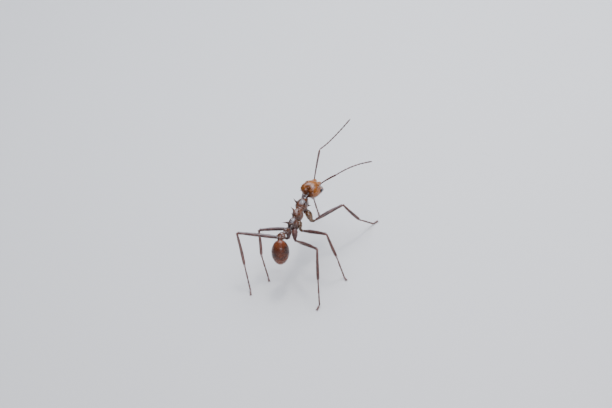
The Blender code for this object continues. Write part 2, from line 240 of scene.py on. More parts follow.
def markForm(mesh, tone):
    # two values for the paint: how deep a point lies in a groove, which the shell paint darkens as painted
    # shade, and how pale its place is
    points, normals = pointsOf(mesh), normalsOf(mesh)
    ends = np.empty(len(mesh.edges) * 2, dtype=np.int32)
    mesh.edges.foreach_get("vertices", ends)
    one, two = ends[0::2], ends[1::2]
    gap = points[two] - points[one]
    square = (gap * gap).sum(1) + 1e-9
    count = np.bincount(ends, minlength=len(points)).clip(1)
    bend = np.bincount(one, (gap * normals[one]).sum(1) / square, len(points))
    bend -= np.bincount(two, (gap * normals[two]).sum(1) / square, len(points))
    bend = 2 * bend / count
    for _ in range(3):
        around = np.bincount(one, bend[two], len(points)) + np.bincount(two, bend[one], len(points))
        bend = (bend + around / count) / 2
    writeValue(mesh, "grooveShade", np.clip(bend / 30, 0, 1))
    writeValue(mesh, "tone", np.clip(tone(points), 0, 1) if tone else np.full(len(points), 0.5))


def place(name, mesh, where, material, slot, nodes=(), tone=None):
    # brings a finished mesh to metres and to its place on the ant
    if slot != "eye_shell" and not name.endswith("Hair"):
        markForm(mesh, tone)
    mesh.transform(Matrix.Scale(mm, 4) @ where)
    mesh.name = name
    mesh.materials.clear()
    mesh.materials.append(material)
    mesh.shade_smooth()
    item = bpy.data.objects.new(name, mesh)
    bpy.context.scene.collection.objects.link(item)
    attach(item, "root")
    if nodes:
        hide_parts(*nodes)


chitin = {
    # dark and light of the shell; net and clouds are the sizes of its patterns in mm, and gloss is its IOR
    "headChitin": {
        "dark": (0.060, 0.013, 0.002), "light": (0.31, 0.096, 0.008), "rough": 0.25,
        "net": 0.028, "relief": 0.20, "clouds": 0.70, "gloss": 1.48, "coat": 0.22, "coatRough": 0.14,
    },
    "trunkChitin": {
        "dark": (0.013, 0.006, 0.006), "light": (0.115, 0.036, 0.012), "rough": 0.26,
        "net": 0.030, "relief": 0.35, "clouds": 0.55, "gloss": 1.52, "coat": 0.40, "coatRough": 0.16,
    },
    "gasterChitin": {
        "dark": (0.030, 0.007, 0.004), "light": (0.17, 0.040, 0.011), "rough": 0.24,
        "net": 0.024, "relief": 0.10, "clouds": 0.80, "gloss": 1.32, "coat": 0.28, "coatRough": 0.38,
    },
    # limb paint: a brown shell whose light end leans violet, a painted sheen of sky light
    "limbChitin": {
        "dark": (0.026, 0.011, 0.012), "light": (0.135, 0.060, 0.048), "rough": 0.32,
        "net": 0.020, "relief": 0.30, "clouds": 0.50, "gloss": 1.46, "coat": 0.20, "coatRough": 0.20,
    },
    "coxaChitin": {
        "dark": (0.024, 0.010, 0.005), "light": (0.15, 0.066, 0.018), "rough": 0.24,
        "net": 0.024, "relief": 0.15, "clouds": 0.45, "gloss": 1.52, "coat": 0.40, "coatRough": 0.14,
    },
    "jawChitin": {
        "dark": (0.020, 0.004, 0.004), "light": (0.140, 0.024, 0.009), "rough": 0.22,
        "net": 0.020, "relief": 0.15, "clouds": 0.30, "gloss": 1.50, "coat": 0.30, "coatRough": 0.12,
    },
}


def addNode(tree, kind, **values):
    node = tree.nodes.new(kind)
    for name, value in values.items():
        if hasattr(node, name):
            setattr(node, name, value)
        else:
            node.inputs[name].default_value = value
    return node


def shellMaterial(name, facts):
    material = bpy.data.materials.new(name)
    material.use_nodes = True
    tree = material.node_tree
    shader = tree.nodes["Principled BSDF"]
    link = tree.links.new
    where = addNode(tree, "ShaderNodeTexCoord")
    # broad clouds of pigment
    clouds = addNode(tree, "ShaderNodeTexNoise", Scale=1 / (facts["clouds"] * mm), Detail=3.0, Roughness=0.5)
    link(where.outputs["Object"], clouds.inputs["Vector"])
    ramp = addNode(tree, "ShaderNodeValToRGB")
    ramp.color_ramp.elements[0].position = 0.55
    ramp.color_ramp.elements[0].color = (*facts["dark"], 1.0)
    ramp.color_ramp.elements[1].position = 1.0
    ramp.color_ramp.elements[1].color = (*facts["light"], 1.0)
    tone = addNode(tree, "ShaderNodeAttribute", attribute_name="tone")
    paler = addNode(tree, "ShaderNodeMath", operation="MULTIPLY_ADD")
    paler.inputs[1].default_value = 0.62
    link(tone.outputs["Fac"], paler.inputs[0])
    link(clouds.outputs["Fac"], paler.inputs[2])
    link(paler.outputs["Value"], ramp.inputs["Fac"])
    # a fine net of cells, darker along its threads
    net = addNode(tree, "ShaderNodeTexVoronoi", feature="DISTANCE_TO_EDGE", Scale=1 / (facts["net"] * mm))
    link(where.outputs["Object"], net.inputs["Vector"])
    threads = addNode(tree, "ShaderNodeMapRange")
    threads.inputs["From Max"].default_value = 0.12
    threads.inputs["To Min"].default_value = 0.78
    threads.inputs["To Max"].default_value = 1.0
    link(net.outputs["Distance"], threads.inputs["Value"])
    shade = addNode(tree, "ShaderNodeMix", data_type="RGBA", blend_type="MULTIPLY")
    shade.inputs[0].default_value = 0.7
    link(ramp.outputs["Color"], shade.inputs[6])
    link(threads.outputs["Result"], shade.inputs[7])
    # painted shade: grooves and creases are darkened where shade would lie
    grooveShade = addNode(tree, "ShaderNodeAttribute", attribute_name="grooveShade")
    sunk = addNode(tree, "ShaderNodeMapRange")
    sunk.inputs["To Min"].default_value = 1.0
    sunk.inputs["To Max"].default_value = 0.15
    link(grooveShade.outputs["Fac"], sunk.inputs["Value"])
    deep = addNode(tree, "ShaderNodeMix", data_type="RGBA", blend_type="MULTIPLY")
    deep.inputs[0].default_value = 1.0
    link(shade.outputs[2], deep.inputs[6])
    link(sunk.outputs["Result"], deep.inputs[7])
    link(deep.outputs[2], shader.inputs["Base Color"])
    # rubbed and dusty places
    wear = addNode(tree, "ShaderNodeTexNoise", Scale=1 / (0.18 * mm), Detail=3.0)
    link(where.outputs["Object"], wear.inputs["Vector"])
    rough = addNode(tree, "ShaderNodeMapRange")
    rough.inputs["From Min"].default_value = 0.3
    rough.inputs["From Max"].default_value = 0.7
    rough.inputs["To Min"].default_value = facts["rough"] * 0.75
    rough.inputs["To Max"].default_value = facts["rough"] * 1.45
    link(wear.outputs["Fac"], rough.inputs["Value"])
    link(rough.outputs["Result"], shader.inputs["Roughness"])
    # relief: the net stands in, with a soft unevenness over it
    mixed = addNode(tree, "ShaderNodeMath", operation="MULTIPLY_ADD")
    mixed.inputs[1].default_value = 0.6
    link(threads.outputs["Result"], mixed.inputs[0])
    link(wear.outputs["Fac"], mixed.inputs[2])
    relief = addNode(tree, "ShaderNodeBump", Strength=facts["relief"], Distance=0.002 * mm)
    link(mixed.outputs["Value"], relief.inputs["Height"])
    link(relief.outputs["Normal"], shader.inputs["Normal"])
    shader.inputs["IOR"].default_value = facts["gloss"]
    shader.inputs["Coat Weight"].default_value = facts["coat"]
    shader.inputs["Coat Roughness"].default_value = facts["coatRough"]
    shader.inputs["Subsurface Weight"].default_value = 0.08
    shader.inputs["Subsurface Radius"].default_value = (1.0, 0.35, 0.12)
    shader.inputs["Subsurface Scale"].default_value = 0.12 * mm
    return material


def cloudedMaterial(name, scale, dark, light, rough, detail=2.0):
    # two colours in soft clouds
    material = bpy.data.materials.new(name)
    material.use_nodes = True
    tree = material.node_tree
    shader = tree.nodes["Principled BSDF"]
    where = addNode(tree, "ShaderNodeTexCoord")
    clouds = addNode(tree, "ShaderNodeTexNoise", Scale=scale, Detail=detail)
    tree.links.new(where.outputs["Object"], clouds.inputs["Vector"])
    ramp = addNode(tree, "ShaderNodeValToRGB")
    ramp.color_ramp.elements[0].color = (*dark, 1.0)
    ramp.color_ramp.elements[1].color = (*light, 1.0)
    tree.links.new(clouds.outputs["Fac"], ramp.inputs["Fac"])
    tree.links.new(ramp.outputs["Color"], shader.inputs["Base Color"])
    shader.inputs["Roughness"].default_value = rough
    return material


def eyeMaterial():
    dark, light = (0.004, 0.003, 0.005), (0.030, 0.020, 0.026)
    material = cloudedMaterial("eyeFacets", 1 / (0.1 * mm), dark, light, 0.16)
    shader = material.node_tree.nodes["Principled BSDF"]
    shader.inputs["Coat Weight"].default_value = 0.6
    shader.inputs["Coat Roughness"].default_value = 0.06
    return material


def hairMaterial():
    return cloudedMaterial("bristle", 1 / (0.3 * mm), (0.14, 0.070, 0.035), (0.38, 0.230, 0.120), 0.4)


skins = {name: shellMaterial(name, facts) for name, facts in chitin.items()}
skins["eye"] = eyeMaterial()
skins["hair"] = hairMaterial()
print("materials ready")


head = {
    "half": (0.915, 0.935, 0.785),
    "boxiness": 2.5,
    "notch": 0.24,
    "grain": 0.017,
    "eyeCentre": (0.825, -0.30, 0.18),
    "eyeRadius": 0.165, "eyeDepth": 0.105,
    "lensHeight": 0.030, "lensWidth": 0.085,      # as shares of the eye
    "socket": (0.34, -0.66, 0.50),
    "rearSpines": ((0.50, 0.62, 0.28), (0.60, 1.00, 0.50)),
    "crownSpines": ((0.38, 0.34, 0.66), (0.39, 0.39, 0.79)),
    "napeSpines": ((0.62, 0.66, -0.18), (0.71, 0.80, -0.24)),
}


def heartShape(point):
    # two lobes behind with a notch between them, narrower towards the jaws
    along = max(-1.0, min(1.0, point.y))
    ring = math.sqrt(max(0.0, 1.0 - along * along))
    boxy = max(0.0, 1.0 - abs(along) ** head["boxiness"]) ** (1.0 / head["boxiness"])
    spread = boxy / ring if ring > 1e-6 else 0.0
    across = point.x * spread * (0.94 + 0.10 * along)
    height = point.z * spread * (0.96 - 0.10 * abs(along))
    notch = head["notch"] * math.exp(-((across / 0.42) ** 2)) * max(0.0, along) ** 2
    return (across, along - notch, height)


def headRelief(points):
    x, y, z = points.T
    top = step(z, 0.05, 0.06)
    flat = points[:, :2]
    height = -0.020 * bell(x, 0.030) * top * step(y, -0.30, 0.10)  # furrow down the middle
    height -= 0.014 * bell(x, 0.16) * top * step(y, 0.10, 0.12)  # and the dip it runs in
    for side in sides.values():
        ridge = [(side * 0.26, -0.80), (side * 0.36, -0.62), (side * 0.50, -0.25), (side * 0.60, 0.15)]
        height += 0.034 * bell(lineDistance(flat, ridge), 0.035) * top  # ridge above the feeler
        trough = [(side * 0.52, -0.62), (side * 0.68, -0.10), (side * 0.70, 0.20)]
        height -= 0.030 * bell(lineDistance(flat, trough), 0.09) * top  # groove that takes its shaft
        eye = np.array(head["eyeCentre"]) * (side, 1, 1)
        far = np.linalg.norm(points - eye, axis=1)
        height += 0.020 * bell(far - 0.24, 0.035) - 0.035 * bell(far, 0.17)  # rim and seat of the eye
        brow = [(side * 0.86, -0.46, 0.26), (side * 0.70, -0.80, 0.24)]
        height += 0.020 * bell(lineDistance(points, brow), 0.03)
        cheek = [(side * 0.95, 0.25, -0.05), (side * 0.72, -0.70, -0.18)]
        height -= 0.012 * bell(lineDistance(points, cheek), 0.03)
    for side in sides.values():
        socket = np.linalg.norm(points - np.array(head["socket"]) * (side, 1, 1), axis=1)
        height += 0.012 * bell(socket - 0.14, 0.030) - 0.035 * bell(socket, 0.06)  # cup of the feeler
    plate = [(-0.40, -0.62), (-0.20, -0.50), (0.20, -0.50), (0.40, -0.62)]
    # seam above the lip plate
    height -= 0.018 * bell(lineDistance(flat, plate), 0.022) * step(z, 0.05, 0.04)
    mouth = np.linalg.norm((points - np.array((0.0, -0.92, -0.14))) / (1.9, 1.0, 0.8), axis=1)
    height -= 0.05 * bell(mouth, 0.12)
    lines = np.sin(x * 95 + 2.2 * np.sin(y * 3))
    height += 0.0014 * lines * top * step(-y, 0.15, 0.12)  # fine strokes on the face
    return height


def headTone(points):
    # darker round the mouth and towards the rear; painted shade in the notch between the lobes and under the
    # head
    x, y, z = points.T
    mouth = step(-y, 0.66, 0.05) * bell(x, 0.42) * step(-z, 0.03, 0.04)
    # painted shade in the notch and on the underside of the head
    notchShade = bell(y - 0.72, 0.22) * bell(x, 0.30)
    undersideShade = step(-z, 0.35, 0.12)
    return 0.60 - 1.6 * mouth - 0.30 * notchShade - 0.25 * undersideShade - 0.20 * step(y, 0.50, 0.15)


def buildHead():
    where = headFrame()
    base = roundForm(head["half"], shape=heartShape, around=96, along=72)
    shapes = [base]
    shapes += paired(lambda a, b: thorn(a, b, 0.13, 0.020), *head["rearSpines"])
    shapes += paired(lambda a, b: thorn(a, b, 0.05, 0.016), *head["crownSpines"])
    shapes += paired(lambda a, b: thorn(a, b, 0.06, 0.016), *head["napeSpines"])
    for side in sides.values():
        shapes.append(roundForm((0.15, 0.36, 0.09), (side * 0.21, -0.50, 0.585)))
        shapes.append(roundForm((0.18, 0.24, 0.055), (side * 0.29, -0.60, 0.565)))
        shapes.append(roundForm((0.27, 0.36, 0.32), (side * 0.49, -0.55, -0.06)))
        shapes.append(roundForm((0.40, 0.34, 0.40), (side * 0.40, 0.54, 0.02)))
        shapes.append(roundForm((0.10, 0.15, 0.09), (side * 0.10, -0.84, -0.30)))
        shapes.append(roundForm((0.030, 0.10, 0.030), (side * 0.20, -0.98, -0.30)))
    shapes.append(roundForm((0.44, 0.20, 0.20), (0.0, -0.74, 0.08)))
    shapes.append(roundForm((0.21, 0.13, 0.05), (0.0, -0.86, -0.13)))
    mesh = fuse(shapes, head["grain"], 7)
    sculpt(mesh, headRelief)
    hairy = mesh.copy()
    place("headShell", mesh, where, skins["headChitin"], "head_shell", ["head"], headTone)
    return hairy, where


def buildEyes(where):
    # each lens of the compound eye is a small dome on the ball
    for name, side in sides.items():
        seats = bmesh.new()
        bmesh.ops.create_icosphere(seats, subdivisions=4, radius=1.0)
        tree = KDTree(len(seats.verts))
        for index, vert in enumerate(seats.verts):
            tree.insert(vert.co, index)
        tree.balance()
        seats.free()
        bm = bmesh.new()
        bmesh.ops.create_icosphere(bm, subdivisions=6, radius=1.0)
        for vert in bm.verts:
            near = tree.find(vert.co.normalized())[2]
            lens = 1.0 + head["lensHeight"] * max(0.0, 1 - (near / head["lensWidth"]) ** 2)
            size = Vector((head["eyeDepth"], head["eyeRadius"], head["eyeRadius"])) * lens
            centre = Vector(head["eyeCentre"]) * Vector((side, 1, 1))
            vert.co = Vector([vert.co[k] * size[k] + centre[k] for k in range(3)])
        mesh = bpy.data.meshes.new("shape")
        bm.to_mesh(mesh)
        bm.free()
        place("eye" + name.title(), mesh, where, skins["eye"], "eye_shell", ["eye_" + name])


jaw = {
    "hinge": (0.66, -0.74), "tip": (0.05, -1.56), "heel": (0.07, -0.94), "inner": (0.20, -0.66),
    "heelShare": 0.35,      # the cutting edge starts here
    "teeth": 9, "toothDepth": 0.10, "thick": 0.22, "drop": -0.12, "bow": 0.15,
}


def buildJaws(where):
    rows, columns = 97, 15
    hinge, tip, heel, inner = [Vector((*jaw[key], 0.0)) for key in ("hinge", "tip", "heel", "inner")]
    toHeel = jaw["heelShare"]
    for name, side in sides.items():
        points = []
        for face in (1.0, -1.0):
            for row in range(rows):
                share = row / (rows - 1)
                bulge = jaw["bow"] * math.sin(math.pi * share ** 0.8)
                outer = hinge.lerp(tip, share) + Vector((bulge, -bulge * 0.7, 0.0))
                if share < toHeel:
                    edge = inner.lerp(heel, share / toHeel)
                    bite = 0.0
                else:
                    run = (share - toHeel) / (1 - toHeel)
                    edge = heel.lerp(tip, run)
                    bite = abs((run * jaw["teeth"]) % 1.0 - 0.5) * 2 * jaw["toothDepth"] * (0.6 + 0.6 * run)
                for column in range(columns):
                    across = column / (columns - 1)
                    spot = outer.lerp(edge, across) + Vector((bite * across ** 5, 0.0, 0.0))
                    body = math.sqrt(max(0.0, 1 - (2 * across ** 0.7 - 1) ** 2)) * (1 - 0.55 * across)
                    thick = jaw["thick"] * (1 - 0.45 * share) * body
                    groove = 0.006 * math.sin(across * 20 + share * 5) * (1 - across)
                    arch = -0.10 * across ** 2 - 0.08 * share ** 2
                    level = jaw["drop"] + arch + face * (thick / 2 + groove * body)
                    points.append((side * spot.x, spot.y, level))
        faces = []
        for layer in range(2):
            for row in range(rows - 1):
                for column in range(columns - 1):
                    a = (layer * rows + row) * columns + column
                    quad = (a, a + 1, a + columns + 1, a + columns)
                    faces.append(quad if layer == 0 else quad[::-1])
        back = rows * columns
        for row in range(rows - 1):
            for column in (0, columns - 1):
                a = row * columns + column
                quad = (a, a + columns, a + columns + back, a + back)
                faces.append(quad if column == 0 else quad[::-1])
        for column in range(columns - 1):
            for row in (0, rows - 1):
                a = row * columns + column
                quad = (a, a + 1, a + 1 + back, a + back)
                faces.append(quad[::-1] if row == 0 else quad)
        bm = bmesh.new()
        bm.from_mesh(meshFromLists(points, faces))
        bmesh.ops.remove_doubles(bm, verts=bm.verts, dist=0.001)
        bmesh.ops.recalc_face_normals(bm, faces=bm.faces)
        mesh = bpy.data.meshes.new("shape")
        bm.to_mesh(mesh)
        bm.free()
        place("mandible" + name.title(), mesh, where, skins["jawChitin"], "jaw_shell", ["mandible_" + name])


headSkin, headPlace = buildHead()
buildEyes(headPlace)
buildJaws(headPlace)
print("head, eyes and jaws ready")


trunk = {
    "grain": 0.018,
    "neckEnd": (-0.03, -2.38, 0.04),
    "shoulderSpines": ((0.40, -1.04, 0.32), (0.66, -1.12, 0.80)),
    "middleSpines": ((0.24, -0.16, 0.34), (0.40, -0.20, 0.88)),
    "rearSpines": ((0.20, 1.08, 0.22), (0.38, 1.60, 0.96)),
    "collarSpines": ((0.42, -1.30, -0.22), (0.58, -1.44, -0.34)),
    "backSpines": ((0.20, 0.20, 0.34), (0.25, 0.26, 0.56)),
}


def trunkRelief(points):
    x, y, z = points.T
    top = step(z, -0.02, 0.05)
    height = -0.045 * bell(y + 0.52 + 0.35 * x * x + 0.15 * z, 0.032)  # joint behind the pronotum
    # groove before the propodeum
    height -= 0.060 * bell(y - 0.46 + 0.20 * z, 0.045) * step(z, -0.35, 0.06)
    height -= 0.022 * bell(x, 0.030) * top * step(y, -0.4, 0.05) * step(-y, -1.5, 0.1)
    for side in sides.values():
        out = step(side * x, 0.12, 0.04)
        seam = [(-0.42, -0.30), (0.10, -0.02), (0.48, 0.04)]
        height -= 0.022 * bell(lineDistance(points[:, 1:], seam), 0.022) * out
        seam = [(0.48, -0.02), (0.95, -0.16), (1.45, -0.20)]
        height -= 0.020 * bell(lineDistance(points[:, 1:], seam), 0.022) * out
        vent = np.linalg.norm(points - np.array((side * 0.40, 1.02, -0.02)), axis=1)
        height += 0.016 * bell(vent - 0.055, 0.018) - 0.020 * bell(vent, 0.035)  # breathing hole
        fold = [(-1.55, -0.20), (-1.05, -0.30), (-0.60, -0.24)]
        height -= 0.020 * bell(lineDistance(points[:, 1:], fold), 0.022) * out
    wrinkles = np.sin(y * 70 + 3 * np.sin(x * 9)) * np.sin(x * 60 + 2 * np.sin(y * 7))
    height += 0.0012 * wrinkles
    return height


def trunkTone(points):
    # the middle of the back is warmer than the collar and the spined rear
    y, z = points.T[1:]
    return 0.40 + 0.55 * bell(y + 0.28, 0.32) + 0.15 * step(-z, 0.25, 0.08)


def buildTrunk():
    where = trunkFrame()
    shapes = [
        roundForm((0.56, 0.68, 0.50), (0.0, -1.02, 0.10)),
        roundForm((0.40, 0.60, 0.34), (0.0, -1.20, -0.22)),
        loft(
            [(0, -1.30, 0.02), (0, -1.60, 0.05), (0, -1.78, 0.06), (0, -1.86, 0.06), (0, -2.05, 0.06),
             trunk["neckEnd"]],
            [0.42, 0.31, 0.27, 0.17, 0.15, 0.17], 32,
        ),
        roundForm((0.43, 0.60, 0.40), (0.0, -0.08, 0.08)),
        roundForm((0.46, 0.62, 0.46), (0.0, -0.02, -0.20)),
        roundForm((0.40, 0.66, 0.40), (0.0, 0.86, -0.02)),
        roundForm((0.45, 0.58, 0.36), (0.0, 0.84, -0.24)),
        roundForm((0.24, 0.26, 0.22), (0.0, 1.42, -0.06)),
    ]
    shapes += paired(lambda a, b: thorn(a, b, 0.15, 0.018, (0, 0.03, 0)), *trunk["shoulderSpines"])
    shapes += paired(lambda a, b: thorn(a, b, 0.13, 0.018), *trunk["middleSpines"])
    shapes += paired(lambda a, b: thorn(a, b, 0.12, 0.014, (0, 0.0, 0.05)), *trunk["rearSpines"])
    shapes += paired(lambda a, b: thorn(a, b, 0.10, 0.020), *trunk["collarSpines"])
    shapes += paired(lambda a, b: thorn(a, b, 0.09, 0.022), *trunk["backSpines"])
    for side in sides.values():
        for rear, half in ((-0.86, 0.30), (0.46, 0.25), (1.08, 0.27)):
            shapes.append(roundForm((0.18, half, 0.16), (side * 0.26, rear, -0.50)))
    mesh = fuse(shapes, trunk["grain"], 4)
    sculpt(mesh, trunkRelief)
    hairy = mesh.copy()
    solids = ["pronotum", "mesonotum", "propodeum"]
    place("trunkShell", mesh, where, skins["trunkChitin"], "trunk_shell", solids, trunkTone)
    return hairy, where


waist = {
    "grain": 0.014, "smoothing": 3,
    "petioleSpines": ((0.13, 1.96, 0.44), (0.17, 2.00, 0.62)),
    "postpetioleSpines": ((0.34, 2.74, 0.58), (0.45, 2.82, 0.70)),
}


def buildWaist(where):
    # petiole with its low paired node, then the wider postpetiole
    shapes = [
        loft(
            [(0, 1.36, -0.06), (0, 1.52, 0.02), (0, 1.70, 0.10), (0, 1.90, 0.22), (0, 2.10, 0.31),
             (0, 2.34, 0.38)],
            [0.16, 0.135, 0.14, 0.20, 0.19, 0.13], 28,
        ),
        roundForm((0.25, 0.22, 0.20), (0.0, 1.98, 0.34)),
    ]
    shapes += paired(lambda a, b: thorn(a, b, 0.07, 0.018), *waist["petioleSpines"])
    petiole = fuse(shapes, waist["grain"], waist["smoothing"])
    hairy = petiole.copy()
    place("petioleShell", petiole, where, skins["trunkChitin"], "trunk_shell", ["petiole"])
    shapes = [
        roundForm((0.42, 0.31, 0.29), (0.0, 2.70, 0.51)),
        roundForm((0.30, 0.28, 0.30), (0.0, 2.60, 0.56)),
        loft([(0, 2.24, 0.35), (0, 2.40, 0.42), (0, 2.56, 0.48)], [0.12, 0.14, 0.24], 28),
        loft([(0, 2.80, 0.54), (0, 3.02, 0.56), (0, 3.22, 0.50)], [0.26, 0.20, 0.16], 28),
    ]
    shapes += paired(lambda a, b: thorn(a, b, 0.08, 0.02), *waist["postpetioleSpines"])
    post = fuse(shapes, waist["grain"], waist["smoothing"])
    place("postpetioleShell", post.copy(), where, skins["trunkChitin"], "trunk_shell", ["postpetiole"])
    return joined([hairy, post])


gaster = {
    "half": (0.80, 1.33, 0.785),
    "taper": 0.16,
    "plateEnds": (0.34, 0.66, 0.86),
    "lip": 0.022,
    "neck": 0.10,
}


def gasterShape(point):
    # an egg whose back plates overlap like tiles towards the tip
    along = point.y
    narrow = 1.0 - gaster["taper"] * max(0.0, along) ** 1.5
    lip = 0.0
    for end in gaster["plateEnds"]:
        past = along - end
        fall = math.exp(-((past + 0.05) / 0.07) ** 2) if past < 0 else -0.8 * math.exp(-past / 0.10)
        lip += gaster["lip"] * fall
    waist = gaster["neck"] * math.exp(-((along + 0.86) / 0.10) ** 2)
    swell = narrow * (1.0 + lip - waist)
    return (point.x * swell, along, point.z * swell)


def gasterRelief(points):
    x, y, z = points.T
    height = -0.014 * bell(z + 0.10 - 0.05 * y, 0.022) * step(np.abs(x), 0.25, 0.05) * step(-y, -0.9, 0.05)
    height += 0.004 * np.sin(x * 7) * np.sin(y * 5) * np.sin(z * 6)
    height -= 0.05 * bell(x, 0.10) * bell(z - 0.05, 0.07) * step(y, 1.05, 0.03)
    return height


def gasterTone(points):
    # pale at the waist and where each plate runs out, darkest over the middle of the first one
    along = points[:, 1] / gaster["half"][1]
    tone = 0.30 + 0.30 * bell(along + 0.93, 0.13) + 0.30 * step(along, 0.10, 0.12)
    for end in gaster["plateEnds"]:
        tone += 0.30 * bell(along - end + 0.03, 0.05) - 0.45 * bell(along - end - 0.02, 0.025)
    # painted shade: the gaster's right flank is darker than its left
    return tone - 0.30 * bell(points[:, 0] + 0.75, 0.30)


def buildGaster():
    where = gasterFrame()
    mesh = roundForm(gaster["half"], shape=gasterShape, around=128, along=160)
    sculpt(mesh, gasterRelief)
    hairy = mesh.copy()
    place("gasterShell", mesh, where, skins["gasterChitin"], "gaster_shell", ["gaster"], gasterTone)
    return hairy, where


trunkSkin, trunkPlace = buildTrunk()
waistSkin = buildWaist(trunkPlace)
gasterSkin, gasterPlace = buildGaster()
print("trunk, waist and gaster ready")


# limbs follow the middle lines of their solids
def nodePoints(node):
    return pointsOf(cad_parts[node].data) / mm


def middleLine(node):
    # the straight stretch of a solid limb: a point on it and its direction
    points = nodePoints(node)
    for keep in (1.0, 0.56, 0.50):
        middle = points.mean(0)
        way = np.linalg.svd(points - middle, full_matrices=False)[2][0]
        along = (points - middle) @ way
        centre = (along.max() + along.min()) / 2
        reach = keep * (along.max() - along.min()) / 2
        inner = points[np.abs(along - centre) <= reach + 1e-6]
        if len(inner) < 16:
            break
        points = inner
    return Vector(points.mean(0)), Vector(way)


def bentLine(node, start, count=24):
    # the middle of a curved solid, from the end nearest start
    points = nodePoints(node)
    middle = points.mean(0)
    way = np.linalg.svd(points - middle, full_matrices=False)[2][0]
    if (np.array(start) - middle) @ way > 0:
        way = -way
    along = (points - middle) @ way
    fits = [np.polyfit(along, points[:, k], 3) for k in range(3)]
    places = np.linspace(along.min(), along.max(), count)
    return [Vector([np.polyval(fit, value) for fit in fits]) for value in places]


def corner(nodeA, nodeB):
    # where the lines of two limbs meet, or pass closest
    pointA, wayA = middleLine(nodeA)
    pointB, wayB = middleLine(nodeB)
    gap = pointA - pointB
    ab = wayA.dot(wayB)
    a, b = wayA.dot(gap), wayB.dot(gap)
    share = 1 - ab * ab
    return (pointA + wayA * ((ab * b - a) / share) + pointB + wayB * ((b - ab * a) / share)) / 2


def smoothPath(stops, steps):
    padded = [stops[0] * 2 - stops[1]] + list(stops) + [stops[-1] * 2 - stops[-2]]
    path = []
    for a, b, c, d in zip(padded, padded[1:], padded[2:], padded[3:]):
        for index in range(steps):
            t = index / steps
            path.append(
                0.5 * ((2 * b) + (c - a) * t + (2 * a - 5 * b + 4 * c - d) * t * t
                       + (3 * b - a - 3 * c + d) * t ** 3)
            )
    return path + [stops[-1]]


def profile(share, knots):
    # radius at a share of the length, from (share, radius) knots with smooth runs between
    for (s0, r0), (s1, r1) in zip(knots, knots[1:]):
        if share <= s1:
            t = (share - s0) / (s1 - s0)
            return r0 + (r1 - r0) * t * t * (3 - 2 * t)
    return knots[-1][1]


def segment(start, end, knots, bow=(0.0, 0.0, 0.0), rings=34, around=22):
    path, radii = [], []
    for index in range(rings + 1):
        share = index / rings
        path.append(start.lerp(end, share) + Vector(bow) * math.sin(math.pi * share))
        radii.append(max(0.004, profile(share, knots)))
    return loft(path, radii, around)


legs = {
    # (share of the length, radius in mm)
    "coxa": (
        (0.0, 0.05), (0.07, 0.20), (0.30, 0.285), (0.52, 0.265), (0.78, 0.180), (0.94, 0.125), (1.0, 0.05),
    ),
    "trochanter": ((0.0, 0.04), (0.10, 0.100), (0.50, 0.138), (0.85, 0.108), (1.0, 0.04)),
    "femur": (
        (0.0, 0.03), (0.04, 0.100), (0.10, 0.114), (0.34, 0.170), (0.60, 0.160), (0.88, 0.124), (0.97, 0.130),
        (1.0, 0.04),
    ),
    "tibia": (
        (0.0, 0.03), (0.03, 0.104), (0.08, 0.094), (0.22, 0.114), (0.70, 0.138), (0.95, 0.130), (1.0, 0.04),
    ),
    "joint": ((0.0, 0.02), (0.12, 0.064), (0.30, 0.060), (0.85, 0.078), (0.95, 0.074), (1.0, 0.02)),
    "coxaSize": {"fore": 1.10, "middle": 0.90, "hind": 1.0},
    "coxaLength": 1.15,
    "bendRoom": 0.08,
    "tarsusShares": (0.46, 0.14, 0.11, 0.09, 0.20),
    "soleLift": 0.080,
    "soleLength": 0.46,
    "toeRoom": 0.16,
    "turnLength": 0.34,      # how far the trochanter reaches
    "spurLength": 0.20,
    "clawReach": 0.12, "clawSpread": 0.085, "clawRise": 0.055,
}


def limbEnd(node, start):
    # the middle of a limb's end ring, the one far from start
    points = nodePoints(node)
    line, way = middleLine(node)
    if (line - start).dot(way) < 0:
        way = -way
    along = points @ np.array(way)
    return Vector(points[along > along.max() - 0.05].mean(0))


def footPath(pair, side, ankle):
    # from the ankle down to the floor and along it to the toe
    points = nodePoints(f"tarsus_{pair}_{side}")
    far = points[np.argmax(np.linalg.norm(points[:, :2] - np.array(ankle)[:2], axis=1))]
    toe = Vector((far[0], far[1], legs["soleLift"]))
    heading = Vector((toe.x - ankle.x, toe.y - ankle.y, 0.0)).normalized()
    toe -= heading * legs["toeRoom"]
    ball = toe - heading * legs["soleLength"] + Vector((0, 0, 0.04))
    return [ankle, ankle.lerp(ball, 0.45), ankle.lerp(ball, 0.85), ball, toe], heading


def pathPoint(path, share):
    lengths = [0.0]
    for one, two in zip(path, path[1:]):
        lengths.append(lengths[-1] + (two - one).length)
    target = share * lengths[-1]
    for index in range(len(path) - 1):
        if target <= lengths[index + 1] or index == len(path) - 2:
            run = (target - lengths[index]) / (lengths[index + 1] - lengths[index])
            return path[index].lerp(path[index + 1], run)


def paleEnds(start, end, middle):
    # a limb is paler at its joints
    def tone(points):
        ends = bell(np.linalg.norm(points - np.array(start), axis=1), 0.22)
        ends += bell(np.linalg.norm(points - np.array(end), axis=1), 0.18)
        return middle + (0.95 - middle) * ends
    return tone


